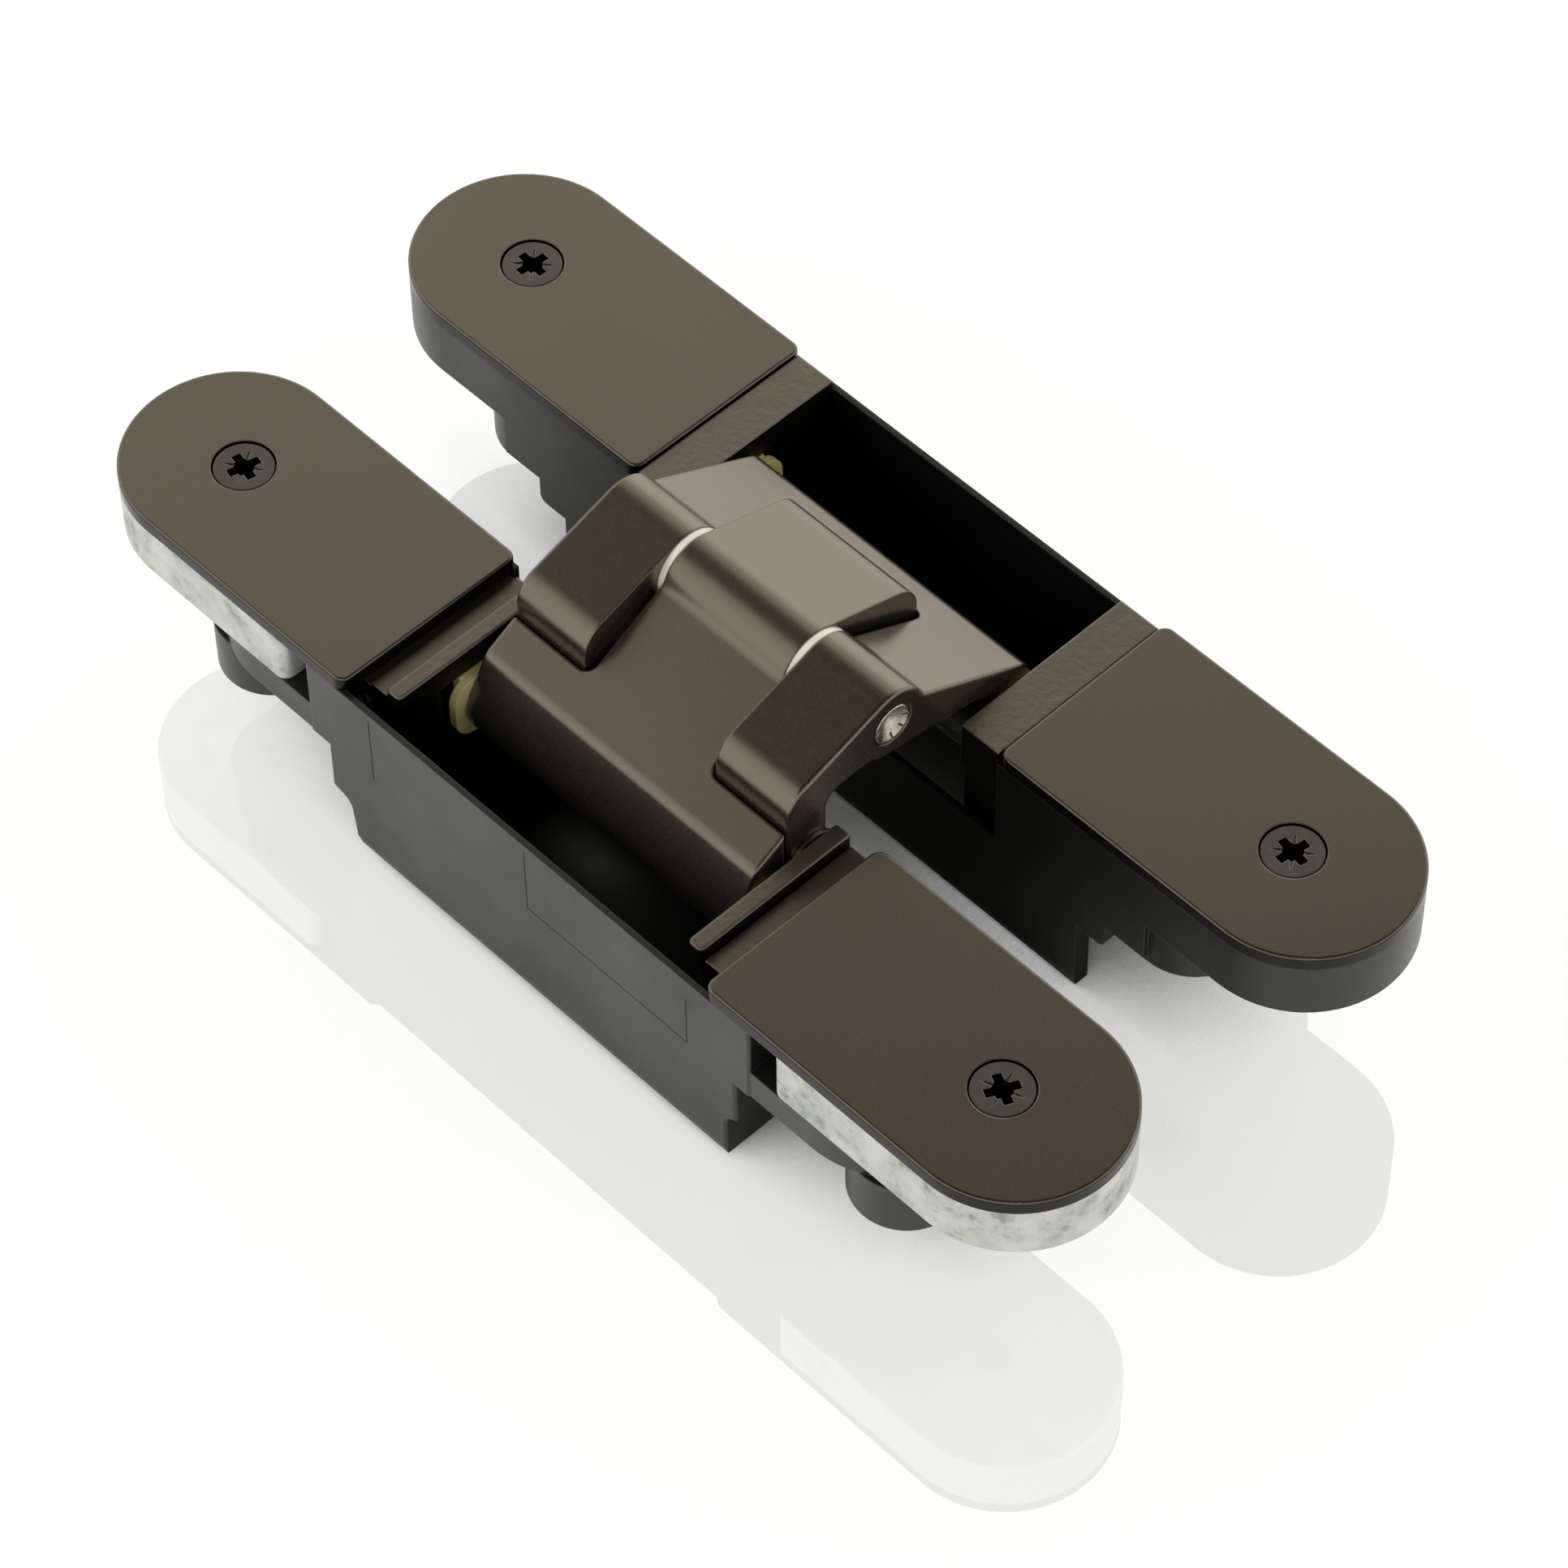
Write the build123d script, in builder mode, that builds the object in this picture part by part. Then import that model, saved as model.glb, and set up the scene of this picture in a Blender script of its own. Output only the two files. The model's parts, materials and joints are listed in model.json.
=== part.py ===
# Concealed door hinge, shown folded flat (door open 180 degrees).
# X runs along the hinge, Y across its two bodies, Z out of the door edge.
# The frame-side body lies at -Y and can be adjusted, the leaf-side body lies at +Y.
# Two arms cross on the centre pin, like scissors. Each arm is pinned near the gap in one
# body, and its wide end carries two shoes that slide in grooves of the other body.
# All sizes are in millimetres.

import os
from math import acos, cos, degrees, radians, sin, sqrt, tan

from build123d import *

# Whole hinge
length = 160.0
body_width = 28.0
body_gap = 19.2
frame_depth = 30.3
leaf_depth = 32.4

# Arms
arm_width = 45.8
knuckle_radius = 5.1
centre_height = 7.05
neck_half = 10.0
flange_thickness = 1.0
notch_depth = 17.2
notch_corner_radius = 1.6
arm_edge_radius = 0.45
arm_half = arm_width / 2

# Covers
cover_thickness = 2.0
cover_past_arms = 7.6
cover_corner_radius = 1.5
cover_edge_radius = 0.35
cover_screw_from_tip = 16.0

# Fine mould lines in the frame housing's outer wall: place along X, start and end under the face
mould_lines = ((-26.1, 3.1, 14.2), (0.7, 3.3, 13.8), (27.6, 5.5, 13.8))
mould_line_width = 0.2
mould_line_depth = 0.12

# Cover screws
screw_head_diameter = 7.6
screw_head_thickness = 1.4
screw_head_gap = 0.2
screw_head_sunk = 0.15
screw_shank_diameter = 4.0
screw_length = 9.0
recess_width = 1.2
recess_span = 4.3
recess_core_diameter = 2.6
recess_core_depth = 2.2
recess_depth = 1.1
recess_tick_turn = 45.0
recess_turns = {"frame_left": -13.0, "frame_right": -26.0, "leaf_left": -4.0, "leaf_right": -9.0}
tick_width = 0.55
tick_start = 1.1
tick_length = 1.7
tick_depth = 0.2

# Fixing holes and the screw bosses under them
fixing_from_tip = 25.4
fixing_spacing = 10.8
fixing_diameter = 5.5
fixing_head_diameter = 10.4
fixing_head_angle = 90.0
frame_boss_radius = 7.0
frame_boss_bottom = 22.3
leaf_boss_radius = 7.8
leaf_boss_bottom = 17.8

# Zinc end blocks of the frame side
end_block_gap = 3.6
end_block_thickness = 7.8
end_block_corner = 1.5
end_block_edge_radius = 0.5

# Both housings
wall = 0.8
end_wall = 1.1
floor = 1.2
bottom_bevel_height = 1.5
bottom_bevel_inset = 0.4

# Frame housing: how far its three levels reach past the arms, left and right, and their depths
frame_left_past_arms = (14.5, 11.4, 8.1)
frame_right_past_arms = (15.0, 12.5, 10.8)
upper_level = 14.4
middle_level = 22.0
foot_draft = 0.9
wall_cut_level = 16.0
housing_edge_radius = 0.5
foot_root_radius = 2.0
shelf_reach = 2.3
shelf_under_cover = 0.5

# Leaf housing
leaf_wing_thickness = 8.2
leaf_pocket_past_arms = 13.4
leaf_foot_past_pocket = 7.7
leaf_shoulder_past_foot = 4.5
leaf_foot_wall = 2.4
leaf_shoulder_level = 20.4
leaf_web_level = 16.4
leaf_corner_radius = 1.2

# Linkage, measured from the centre line of the gap and down from the cover face
pivot_offset = 13.2
pivot_depth = 5.7
slide_offset = 21.7
slide_depth = 9.2
slide_wander_out = 2.8
slide_wander_in = 0.2

# Wide end of an arm
wide_slope_start = (3.6, -9.0)
wide_brow = (22.1, 0.9)
wide_brow_radius = 2.4
wide_root_radius = 2.0
wide_under_bend = (13.4, 0.6)
wide_under_low = (15.9, 2.2)
wide_under_radius = 1.5
barrel_radius = 3.95

# Pinned end of an arm
finger_slope = 18.5
finger_outer = 16.8
finger_inner = 10.6
finger_bend_radius = 4.5
finger_under_height = 3.2
finger_under_start = 3.4
finger_under_radius = 2.4
eye_radius = 3.7

# Pins, bushes and shoes
centre_pin_diameter = 5.8
centre_pin_dimple = 4.8
centre_pin_dimple_tip = 0.8
centre_pin_dimple_depth = 1.2
pin_nicks = 8
pin_nick_width = 0.25
pin_nick_length = 0.8
pin_nick_depth = 0.5
centre_bush_inset = 2.9
pin_chamfer = 0.3
bush_wall = 0.7
pivot_pin_diameter = 4.5
slide_pin_diameter = 4.5
washer_diameter = 8.0
washer_thickness = 0.5
washer_gap = 0.05
shoe_width = 9.8
shoe_height = 9.4
shoe_shift = 0.3
shoe_corner_radius = 3.2
shoe_flange_thickness = 1.15
shoe_runner_width = 6.4
shoe_runner_length = 1.4

# Bearing blocks, which stand beside the arms in both bodies
block_gap = 1.4
leaf_block_top = 0.5
leaf_block_nose_bottom = 7.3
bearing_block_thickness = 2.4
bearing_block_top = 0.6
bearing_strip_thickness = 1.5
bearing_strip_outer_y = 34.2
bearing_block_outer_y = 31.9
bearing_block_inner_y = 10.4
bearing_block_corner = 0.8
bearing_block_edge_radius = 0.35
block_low_level = 20.9
block_end_gap = 0.5

# Guide blocks and adjusting screws of the frame side
block_groove = 0.3
guide_block_top = 2.3
guide_step_x = 2.6
guide_step_level = 2.9
guide_block_outer_y = 33.9
guide_block_bottom = 11.0
guide_end_gap = 0.7
guide_plate_thickness = 1.5
guide_plate_margin = 2.2
height_travel = 2.0
depth_travel = 1.0
lug_length = 5.6
lug_width = 4.0
lug_height = 5.0
lug_y = 25.0
adjuster_depth = 6.0
height_screw_diameter = 4.0
height_screw_y = 16.0
height_screw_head = 6.0
height_screw_head_length = 3.0
height_screw_length = 7.0
depth_screw_diameter = 3.0
depth_screw_head = 5.0
depth_screw_head_length = 1.5
depth_screw_length = 11.5
depth_screw_inset = 0.4
hex_socket = 2.0

# Clearances
pin_clearance = 0.03
thread_clearance = 0.05
running_clearance = 0.1
side_clearance = 0.3
shoe_clearance = 0.3
hairline = 0.2
cut_past = 1.0

# Places worked out from the sizes above
face = leaf_depth
frame_bottom = leaf_depth - frame_depth
half = length / 2
body_centre = (body_gap + body_width) / 2
near_edge = body_gap / 2
far_edge = body_gap / 2 + body_width
cover_underside = face - cover_thickness
cover_inner_edge = arm_half + cover_past_arms
cover_screw_x = half - cover_screw_from_tip
fixing_x = half - fixing_from_tip
frame_left = [arm_half + reach for reach in frame_left_past_arms]
frame_right = [arm_half + reach for reach in frame_right_past_arms]
end_block_inner = frame_right[0] + end_block_gap
shelf_inner = cover_inner_edge - shelf_under_cover
leaf_pocket_half = arm_half + leaf_pocket_past_arms
leaf_foot_half = leaf_pocket_half + leaf_foot_past_pocket
leaf_shoulder_half = leaf_foot_half + leaf_shoulder_past_foot
leaf_block_outer = leaf_pocket_half - side_clearance
leaf_block_nose = cover_inner_edge - hairline
notch_start = neck_half + flange_thickness + thread_clearance
centre_z = face + centre_height
pivot_z = face - pivot_depth
slide_z = face - slide_depth
centre_bush_end = arm_half - centre_bush_inset
washer_start = arm_half + washer_gap
shoe_start = arm_half + 3 * washer_gap
shoe_shoulder = shoe_start + shoe_flange_thickness
shoe_end = shoe_shoulder + shoe_runner_length
groove_bottom_x = shoe_end + hairline
block_inner = arm_half + block_gap
eye_bore = pivot_pin_diameter + 2 * (2 * pin_clearance + bush_wall)
bearing_outer = block_inner + bearing_block_thickness
guide_inner = bearing_outer + block_groove
guide_outer = frame_left[0] - end_wall - height_travel - guide_end_gap
low_outer = frame_left[2] - foot_draft - end_wall - height_travel - side_clearance
groove_near = slide_offset - shoe_runner_width / 2 - shoe_clearance - slide_wander_in
groove_far = slide_offset + shoe_runner_width / 2 + shoe_clearance + slide_wander_out
groove_top = slide_z + shoe_height / 2 + shoe_clearance
wing_plate_top = cover_underside - end_block_thickness
adjuster_z = face - adjuster_depth
depth_screw_x = guide_inner + depth_screw_head / 2 + running_clearance + depth_screw_inset
tolerance = 1e-4
ends = (("left", -1), ("right", 1))
sides = (("frame", -1), ("leaf", 1))

os.makedirs("parts", exist_ok=True)


def save(piece, name):
    """Labels one finished piece and writes it to its own file."""
    piece.label = name
    export_step(piece, f"parts/{name}.step")


def box(x, y, z, mode=Mode.ADD):
    """Adds a box that spans the given pairs of limits, in any order."""
    spans = [(min(pair), max(pair)) for pair in (x, y, z)]
    centre = [(low + high) / 2 for low, high in spans]
    with Locations(tuple(centre)):
        Box(*[high - low for low, high in spans], mode=mode)


def x_cylinder(radius, x, y, z, mode=Mode.ADD):
    """Adds a cylinder along X between the two limits in x."""
    with Locations(Location(((x[0] + x[1]) / 2, y, z), (0, 90, 0))):
        Cylinder(radius, abs(x[1] - x[0]), mode=mode)


def y_cylinder(radius, x, y, z, mode=Mode.ADD):
    """Adds a cylinder along Y between the two limits in y."""
    with Locations(Location((x, (y[0] + y[1]) / 2, z), (90, 0, 0))):
        Cylinder(radius, abs(y[1] - y[0]), mode=mode)


def z_cylinder(radius, x, y, z, mode=Mode.ADD):
    """Adds a cylinder along Z between the two limits in z."""
    with Locations((x, y, (z[0] + z[1]) / 2)):
        Cylinder(radius, abs(z[1] - z[0]), mode=mode)


def end_outline(end, inner, corner, centre_y, width):
    """Sketches one round-ended plate: square at the inner edge, half round at the tip."""
    radius = width / 2
    tip = half - radius
    with Locations((end * (inner + tip) / 2, centre_y)):
        Rectangle(tip - inner, width)
    with Locations((end * tip, centre_y)):
        Circle(radius)
    points = [v for v in vertices() if abs(abs(v.X) - inner) < tolerance]
    fillet(points, corner)


def cut_fixing_holes(end, centre_y, top, bottom):
    """Cuts the two countersunk fixing holes of one end, from its top to its bottom."""
    for offset in (-fixing_spacing / 2, fixing_spacing / 2):
        z_cylinder(fixing_diameter / 2, end * fixing_x, centre_y + offset,
                   (bottom - cut_past, top + cut_past), Mode.SUBTRACT)
        depth_of_head = (fixing_head_diameter - fixing_diameter) / 2 / tan(radians(fixing_head_angle / 2))
        with Locations((end * fixing_x, centre_y + offset, top - depth_of_head / 2)):
            Cone(fixing_diameter / 2, fixing_head_diameter / 2, depth_of_head, mode=Mode.SUBTRACT)


def add_boss(end, centre_y, radius, bottom, top):
    """Adds the oblong boss that both fixing screws of one end pass through."""
    with BuildSketch(Plane.XY.offset(bottom)) as boss:
        with Locations(Location((end * fixing_x, centre_y, 0), 90)):
            SlotCenterToCenter(fixing_spacing, 2 * radius)
    extrude(boss.sketch, amount=top - bottom)


def bevel_bottom(outer_y, inward, bottom):
    """Takes a slim wedge off the bottom edge of a long wall; inward is 1 or -1."""
    clear_y = outer_y - inward * cut_past
    with BuildSketch(Plane.YZ) as wedge:
        Polygon((outer_y, bottom + bottom_bevel_height),
                (outer_y + 2 * inward * bottom_bevel_inset, bottom - bottom_bevel_height),
                (clear_y, bottom - bottom_bevel_height), (clear_y, bottom + bottom_bevel_height),
                align=None)
    extrude(wedge.sketch, amount=half, both=True, mode=Mode.SUBTRACT)


# Covers, which hide the fixing screws
for side_name, side in sides:
    for end_name, end in ends:
        with BuildPart() as cover:
            with BuildSketch(Plane.XY.offset(cover_underside)):
                end_outline(end, cover_inner_edge, cover_corner_radius, side * body_centre, body_width)
            extrude(amount=cover_thickness)
            fillet(cover.faces().sort_by(Axis.Z)[-1].edges(), cover_edge_radius)
            screw_y = side * body_centre
            z_cylinder(screw_head_diameter / 2 + screw_head_gap, end * cover_screw_x, screw_y,
                       (face - screw_head_sunk - screw_head_thickness, face + cut_past), Mode.SUBTRACT)
            z_cylinder(screw_shank_diameter / 2 + thread_clearance, end * cover_screw_x, screw_y,
                       (cover_underside - cut_past, face), Mode.SUBTRACT)
        save(cover.part, f"{side_name}_cover_{end_name}")

# Cover screws: flat round head, cross recess, four pointed notches between its slots.
# Each one stands at the turn it was left at
for side_name, side in sides:
    for end_name, end in ends:
        with BuildPart() as cover_screw:
            screw_x = end * cover_screw_x
            screw_y = side * body_centre
            turn = recess_turns[f"{side_name}_{end_name}"]
            head_top = face - screw_head_sunk
            head_bottom = head_top - screw_head_thickness
            z_cylinder(screw_head_diameter / 2, screw_x, screw_y, (head_bottom, head_top))
            fillet(cover_screw.faces().sort_by(Axis.Z)[-1].edges(), cover_edge_radius / 2)
            z_cylinder(screw_shank_diameter / 2, screw_x, screw_y,
                       (head_bottom - screw_length, head_bottom))
            with BuildSketch(Plane.XY.offset(head_top)):
                with Locations((screw_x, screw_y)):
                    Rectangle(recess_span, recess_width, rotation=turn)
                    Rectangle(recess_width, recess_span, rotation=turn)
            extrude(amount=-recess_depth, mode=Mode.SUBTRACT)
            z_cylinder(recess_core_diameter / 2, screw_x, screw_y,
                       (head_top - recess_core_depth, head_top + cut_past), Mode.SUBTRACT)
            with BuildSketch(Plane.XY.offset(head_top)):
                with Locations((screw_x, screw_y)):
                    with PolarLocations(tick_start, 4, start_angle=recess_tick_turn + turn):
                        Polygon((0, -tick_width / 2), (tick_length, 0), (0, tick_width / 2), align=None)
            extrude(amount=-tick_depth, mode=Mode.SUBTRACT)
        save(cover_screw.part, f"{side_name}_cover_screw_{end_name}")

# Zinc end blocks of the frame side
for end_name, end in ends:
    with BuildPart() as end_block:
        with BuildSketch(Plane.XY.offset(cover_underside - end_block_thickness)):
            end_outline(end, end_block_inner, end_block_corner, -body_centre, body_width)
        extrude(amount=end_block_thickness)
        fillet(end_block.faces().sort_by(Axis.Z)[0].edges(), end_block_edge_radius)
        cut_fixing_holes(end, -body_centre, cover_underside, cover_underside - end_block_thickness)
        z_cylinder(screw_shank_diameter / 2 + thread_clearance, end * cover_screw_x, -body_centre,
                   (cover_underside - end_block_thickness - cut_past, cover_underside + cut_past),
                   Mode.SUBTRACT)
    save(end_block.part, f"frame_end_block_{end_name}")

# Frame housing: a tub in three levels, with a plate and a boss under each end block
with BuildPart() as frame_housing:
    steps = ((frame_left[0], frame_right[0], cover_underside),
             (frame_left[0], frame_right[0], face - upper_level),
             (frame_left[1], frame_right[1], face - upper_level),
             (frame_left[1], frame_right[1], face - middle_level),
             (frame_left[2], frame_right[2], face - middle_level - foot_draft),
             (frame_left[2] - foot_draft, frame_right[2], frame_bottom))
    left_points = [(-left, z) for left, right, z in steps]
    right_points = [(right, z) for left, right, z in reversed(steps)]
    with BuildSketch(Plane.XZ.offset(near_edge)):
        Polygon(*left_points, *right_points, align=None)
        for root in ((-frame_left[2], face - middle_level), (frame_right[2], face - middle_level)):
            fillet(vertices().sort_by_distance(root)[0], foot_root_radius)
    extrude(amount=body_width)
    fillet(frame_housing.edges().filter_by(Axis.Z), housing_edge_radius)
    for end_name, end in ends:
        with BuildSketch(Plane.XY.offset(face - upper_level)):
            plate_radius = body_width / 2 - hairline
            plate_tip = fixing_x + frame_boss_radius - plate_radius
            with Locations((end * plate_tip / 2, -body_centre)):
                Rectangle(plate_tip, 2 * plate_radius)
            with Locations((end * plate_tip, -body_centre)):
                Circle(plate_radius)
        extrude(amount=wing_plate_top - (face - upper_level))
        add_boss(end, -body_centre, frame_boss_radius, face - frame_boss_bottom, face - upper_level)
    bevel_bottom(-far_edge, 1, frame_bottom)
    bevel_bottom(-near_edge, -1, frame_bottom)
    inside_y = (-far_edge + wall, -near_edge - wall)
    floors = (face - upper_level + wall, face - middle_level + wall, frame_bottom + floor)
    drafts = (0, 0, foot_draft)
    for left, right, floor_top, draft in zip(frame_left, frame_right, floors, drafts):
        box((-left + end_wall + draft, right - end_wall), inside_y,
            (floor_top, face + cut_past), Mode.SUBTRACT)
    for start, stop in ((inside_y[0], inside_y[0] + shelf_reach), (inside_y[1] - shelf_reach, inside_y[1])):
        for end, reach in ((-1, frame_left[0]), (1, frame_right[0])):
            box((end * shelf_inner, end * (reach - end_wall / 2)), (start, stop),
                (face - upper_level, face - upper_level + wall))
    box((-cover_inner_edge, cover_inner_edge), (-near_edge - wall - hairline, -near_edge + cut_past),
        (face - wall_cut_level, face + cut_past), Mode.SUBTRACT)
    for end_name, end in ends:
        for offset in (-fixing_spacing / 2, fixing_spacing / 2):
            z_cylinder(fixing_diameter / 2, end * fixing_x, -body_centre + offset,
                       (face - frame_boss_bottom - cut_past, wing_plate_top + cut_past),
                       Mode.SUBTRACT)
        z_cylinder(screw_shank_diameter / 2 + side_clearance, end * cover_screw_x, -body_centre,
                   (face - upper_level - cut_past, wing_plate_top + cut_past), Mode.SUBTRACT)
    x_cylinder(height_screw_diameter / 2 + running_clearance,
               (-frame_left[0] - cut_past, -frame_left[0] + end_wall + cut_past), -height_screw_y,
               face - adjuster_depth, Mode.SUBTRACT)
    line_y = (-far_edge - cut_past, -far_edge + mould_line_depth)
    for line_x, start, stop in mould_lines:
        box((line_x - mould_line_width / 2, line_x + mould_line_width / 2), line_y,
            (face - stop, face - start), Mode.SUBTRACT)
    box((mould_lines[1][0], mould_lines[2][0]), line_y,
        (face - mould_lines[2][2] - mould_line_width, face - mould_lines[2][2]), Mode.SUBTRACT)
save(frame_housing.part, "frame_housing")

# Leaf housing: full wings, a deep middle with a pocket, and feet under its ends
with BuildPart() as leaf_housing:
    wing_bottom = cover_underside - leaf_wing_thickness
    with BuildSketch(Plane.XY.offset(wing_bottom)):
        with Locations((0, body_centre)):
            SlotOverall(length, body_width)
    extrude(amount=leaf_wing_thickness)
    middle_half = leaf_pocket_half + 2 * end_wall
    box((-middle_half, middle_half), (near_edge, far_edge), (0, wing_bottom))
    steps = ((leaf_foot_half, 0), (leaf_foot_half, face - leaf_shoulder_level),
             (leaf_shoulder_half, face - leaf_shoulder_level), (leaf_shoulder_half, face - leaf_web_level))
    for wall_start in (-near_edge, -far_edge + leaf_foot_wall):
        with BuildSketch(Plane.XZ.offset(wall_start)):
            Polygon(*steps, *[(-x, z) for x, z in reversed(steps)], align=None)
            corners = [v for v in vertices() if abs(abs(v.X) - leaf_shoulder_half) < tolerance
                       and v.Y < face - leaf_web_level - tolerance]
            fillet(corners, leaf_corner_radius)
        extrude(amount=-leaf_foot_wall)
    box((-fixing_x, fixing_x), (near_edge, far_edge), (face - leaf_web_level, wing_bottom))
    for end_name, end in ends:
        add_boss(end, body_centre, leaf_boss_radius, face - leaf_boss_bottom, wing_bottom)
    bevel_bottom(near_edge, 1, 0)
    bevel_bottom(far_edge, -1, 0)
    box((-leaf_pocket_half, leaf_pocket_half), (near_edge + wall, far_edge - wall),
        (floor, face + cut_past), Mode.SUBTRACT)
    box((-cover_inner_edge, cover_inner_edge), (near_edge - cut_past, near_edge + wall + hairline),
        (face - wall_cut_level, face + cut_past), Mode.SUBTRACT)
    for end_name, end in ends:
        cut_fixing_holes(end, body_centre, cover_underside, face - leaf_boss_bottom)
        z_cylinder(screw_shank_diameter / 2 + thread_clearance, end * cover_screw_x, body_centre,
                   (wing_bottom - cut_past, cover_underside + cut_past), Mode.SUBTRACT)
save(leaf_housing.part, "leaf_housing")


def cut_block_seats(end, side):
    """Cuts the shoe groove and the pivot pin's hole into a bearing block."""
    box((end * (block_inner - cut_past), end * groove_bottom_x), (side * groove_near, side * groove_far),
        (-cut_past, groove_top), Mode.SUBTRACT)
    x_cylinder(pivot_pin_diameter / 2 + pin_clearance,
               (end * (block_inner - cut_past), end * (bearing_outer - hairline)),
               side * pivot_offset, pivot_z, Mode.SUBTRACT)


# Leaf bearing blocks, with a stepped top that reaches under the cover
for end_name, end in ends:
    with BuildPart() as leaf_block:
        block_bottom = floor + block_end_gap
        inner_y = near_edge + wall + side_clearance
        outer_y = far_edge - wall - running_clearance
        box((end * block_inner, end * leaf_block_outer), (inner_y, outer_y),
            (block_bottom, cover_underside - running_clearance))
        box((end * block_inner, end * leaf_block_nose), (inner_y, outer_y),
            (block_bottom, face - leaf_block_top))
        box((end * block_inner, end * leaf_block_nose), (near_edge + side_clearance, outer_y),
            (face - leaf_block_nose_bottom, face - leaf_block_top))
        cut_block_seats(end, 1)
    save(leaf_block.part, f"leaf_bearing_block_{end_name}")

# Frame bearing blocks: thin inner plates under a longer strip, with a lug in the guide block
for end_name, end in ends:
    with BuildPart() as frame_block:
        low_y = -near_edge - wall - side_clearance - depth_travel
        block_bottom = frame_bottom + floor + block_end_gap
        low_start = face - wall_cut_level + side_clearance
        strip_bottom = face - bearing_block_top - bearing_strip_thickness
        plate_x = (end * block_inner, end * bearing_outer)
        box(plate_x, (-bearing_strip_outer_y, -bearing_block_inner_y),
            (strip_bottom, face - bearing_block_top))
        box(plate_x, (-bearing_block_outer_y, -bearing_block_inner_y), (low_start, strip_bottom))
        for end_y, radius in ((bearing_strip_outer_y, bearing_block_corner),
                              (bearing_block_inner_y, bearing_block_edge_radius)):
            uprights = [e for e in frame_block.edges().filter_by(Axis.Z)
                        if abs(e.center().Y + end_y) < tolerance]
            fillet(uprights, radius)
        fillet(frame_block.faces().sort_by(Axis.Z)[-1].edges(), bearing_block_edge_radius)
        box(plate_x, (-bearing_block_outer_y, low_y), (face - block_low_level, low_start))
        box((end * block_inner, end * low_outer), (-bearing_block_outer_y, low_y),
            (block_bottom, face - block_low_level))
        cut_block_seats(end, -1)
        box((end * bearing_outer, end * (bearing_outer + lug_length)),
            (-lug_y - lug_width / 2, -lug_y + lug_width / 2),
            (adjuster_z - lug_height / 2, adjuster_z + lug_height / 2))
        y_cylinder(depth_screw_diameter / 2 + thread_clearance, end * depth_screw_x,
                   (-lug_y - lug_width, -lug_y + lug_width), adjuster_z, Mode.SUBTRACT)
    save(frame_block.part, f"frame_bearing_block_{end_name}")

# Guide blocks of the frame side, which slide along the hinge under the covers
for end_name, end in ends:
    with BuildPart() as guide_block:
        inner_y = -near_edge - wall - side_clearance
        box((end * guide_inner, end * guide_outer), (-guide_block_outer_y, inner_y),
            (face - guide_block_bottom, face - guide_step_level))
        box((end * guide_inner, end * (guide_inner + guide_step_x)), (-guide_block_outer_y, inner_y),
            (face - guide_step_level, face - guide_block_top))
        box((end * guide_inner, end * (guide_inner + guide_plate_thickness)),
            (-guide_block_outer_y + guide_plate_margin, inner_y - guide_plate_margin),
            (face - block_low_level, face - guide_block_bottom))
        pocket_reach = lug_width / 2 + depth_travel + side_clearance
        pocket_rise = lug_height / 2 + running_clearance
        box((end * (guide_inner - cut_past), end * (bearing_outer + lug_length + side_clearance)),
            (-lug_y - pocket_reach, -lug_y + pocket_reach),
            (adjuster_z - pocket_rise, adjuster_z + pocket_rise), Mode.SUBTRACT)
        y_cylinder(depth_screw_diameter / 2 + running_clearance, end * depth_screw_x,
                   (-guide_block_outer_y - cut_past, -lug_y), adjuster_z, Mode.SUBTRACT)
        y_cylinder(depth_screw_head / 2 + running_clearance, end * depth_screw_x,
                   (-guide_block_outer_y - cut_past, -guide_block_outer_y + depth_screw_head_length),
                   adjuster_z, Mode.SUBTRACT)
        if end < 0:
            x_cylinder(height_screw_diameter / 2 + thread_clearance,
                       (-guide_inner + cut_past, -guide_outer - cut_past), -height_screw_y, adjuster_z,
                       Mode.SUBTRACT)
    save(guide_block.part, f"frame_guide_block_{end_name}")

# Height screw: held in the left end wall, threaded into the left guide block
with BuildPart() as height_screw:
    head_start = -frame_left[0] - running_clearance
    x_cylinder(height_screw_diameter / 2, (head_start, head_start + height_screw_length),
               -height_screw_y, adjuster_z)
    with BuildSketch(Plane.YZ.offset(head_start - height_screw_head_length)):
        with Locations((-height_screw_y, adjuster_z)):
            RegularPolygon(height_screw_head / 2, 6, major_radius=False)
    extrude(amount=height_screw_head_length)
save(height_screw.part, "height_screw")

# Depth screws: held in the guide blocks, threaded into the bearing blocks' lugs
for end_name, end in ends:
    with BuildPart() as depth_screw:
        head_y = -guide_block_outer_y + running_clearance
        y_cylinder(depth_screw_diameter / 2, end * depth_screw_x,
                   (head_y, head_y + depth_screw_length), adjuster_z)
        y_cylinder(depth_screw_head / 2, end * depth_screw_x,
                   (head_y, head_y + depth_screw_head_length - running_clearance), adjuster_z)
        with BuildSketch(Plane.XZ.offset(-head_y)):
            with Locations((end * depth_screw_x, adjuster_z)):
                RegularPolygon(hex_socket / 2, 6, major_radius=False)
        extrude(amount=-depth_screw_head_length, mode=Mode.SUBTRACT)
    save(depth_screw.part, f"depth_screw_{end_name}")


def touch_point(point, centre, radius, turn):
    """Finds where a straight line from the point touches the circle; turn is 1 or -1."""
    gap = Vector(*point) - Vector(*centre)
    swing = degrees(acos(radius / gap.length))
    reach = gap.normalized() * radius
    spot = Vector(*centre) + reach.rotate(Axis.Z, turn * swing)
    return (spot.X, spot.Y)


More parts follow.
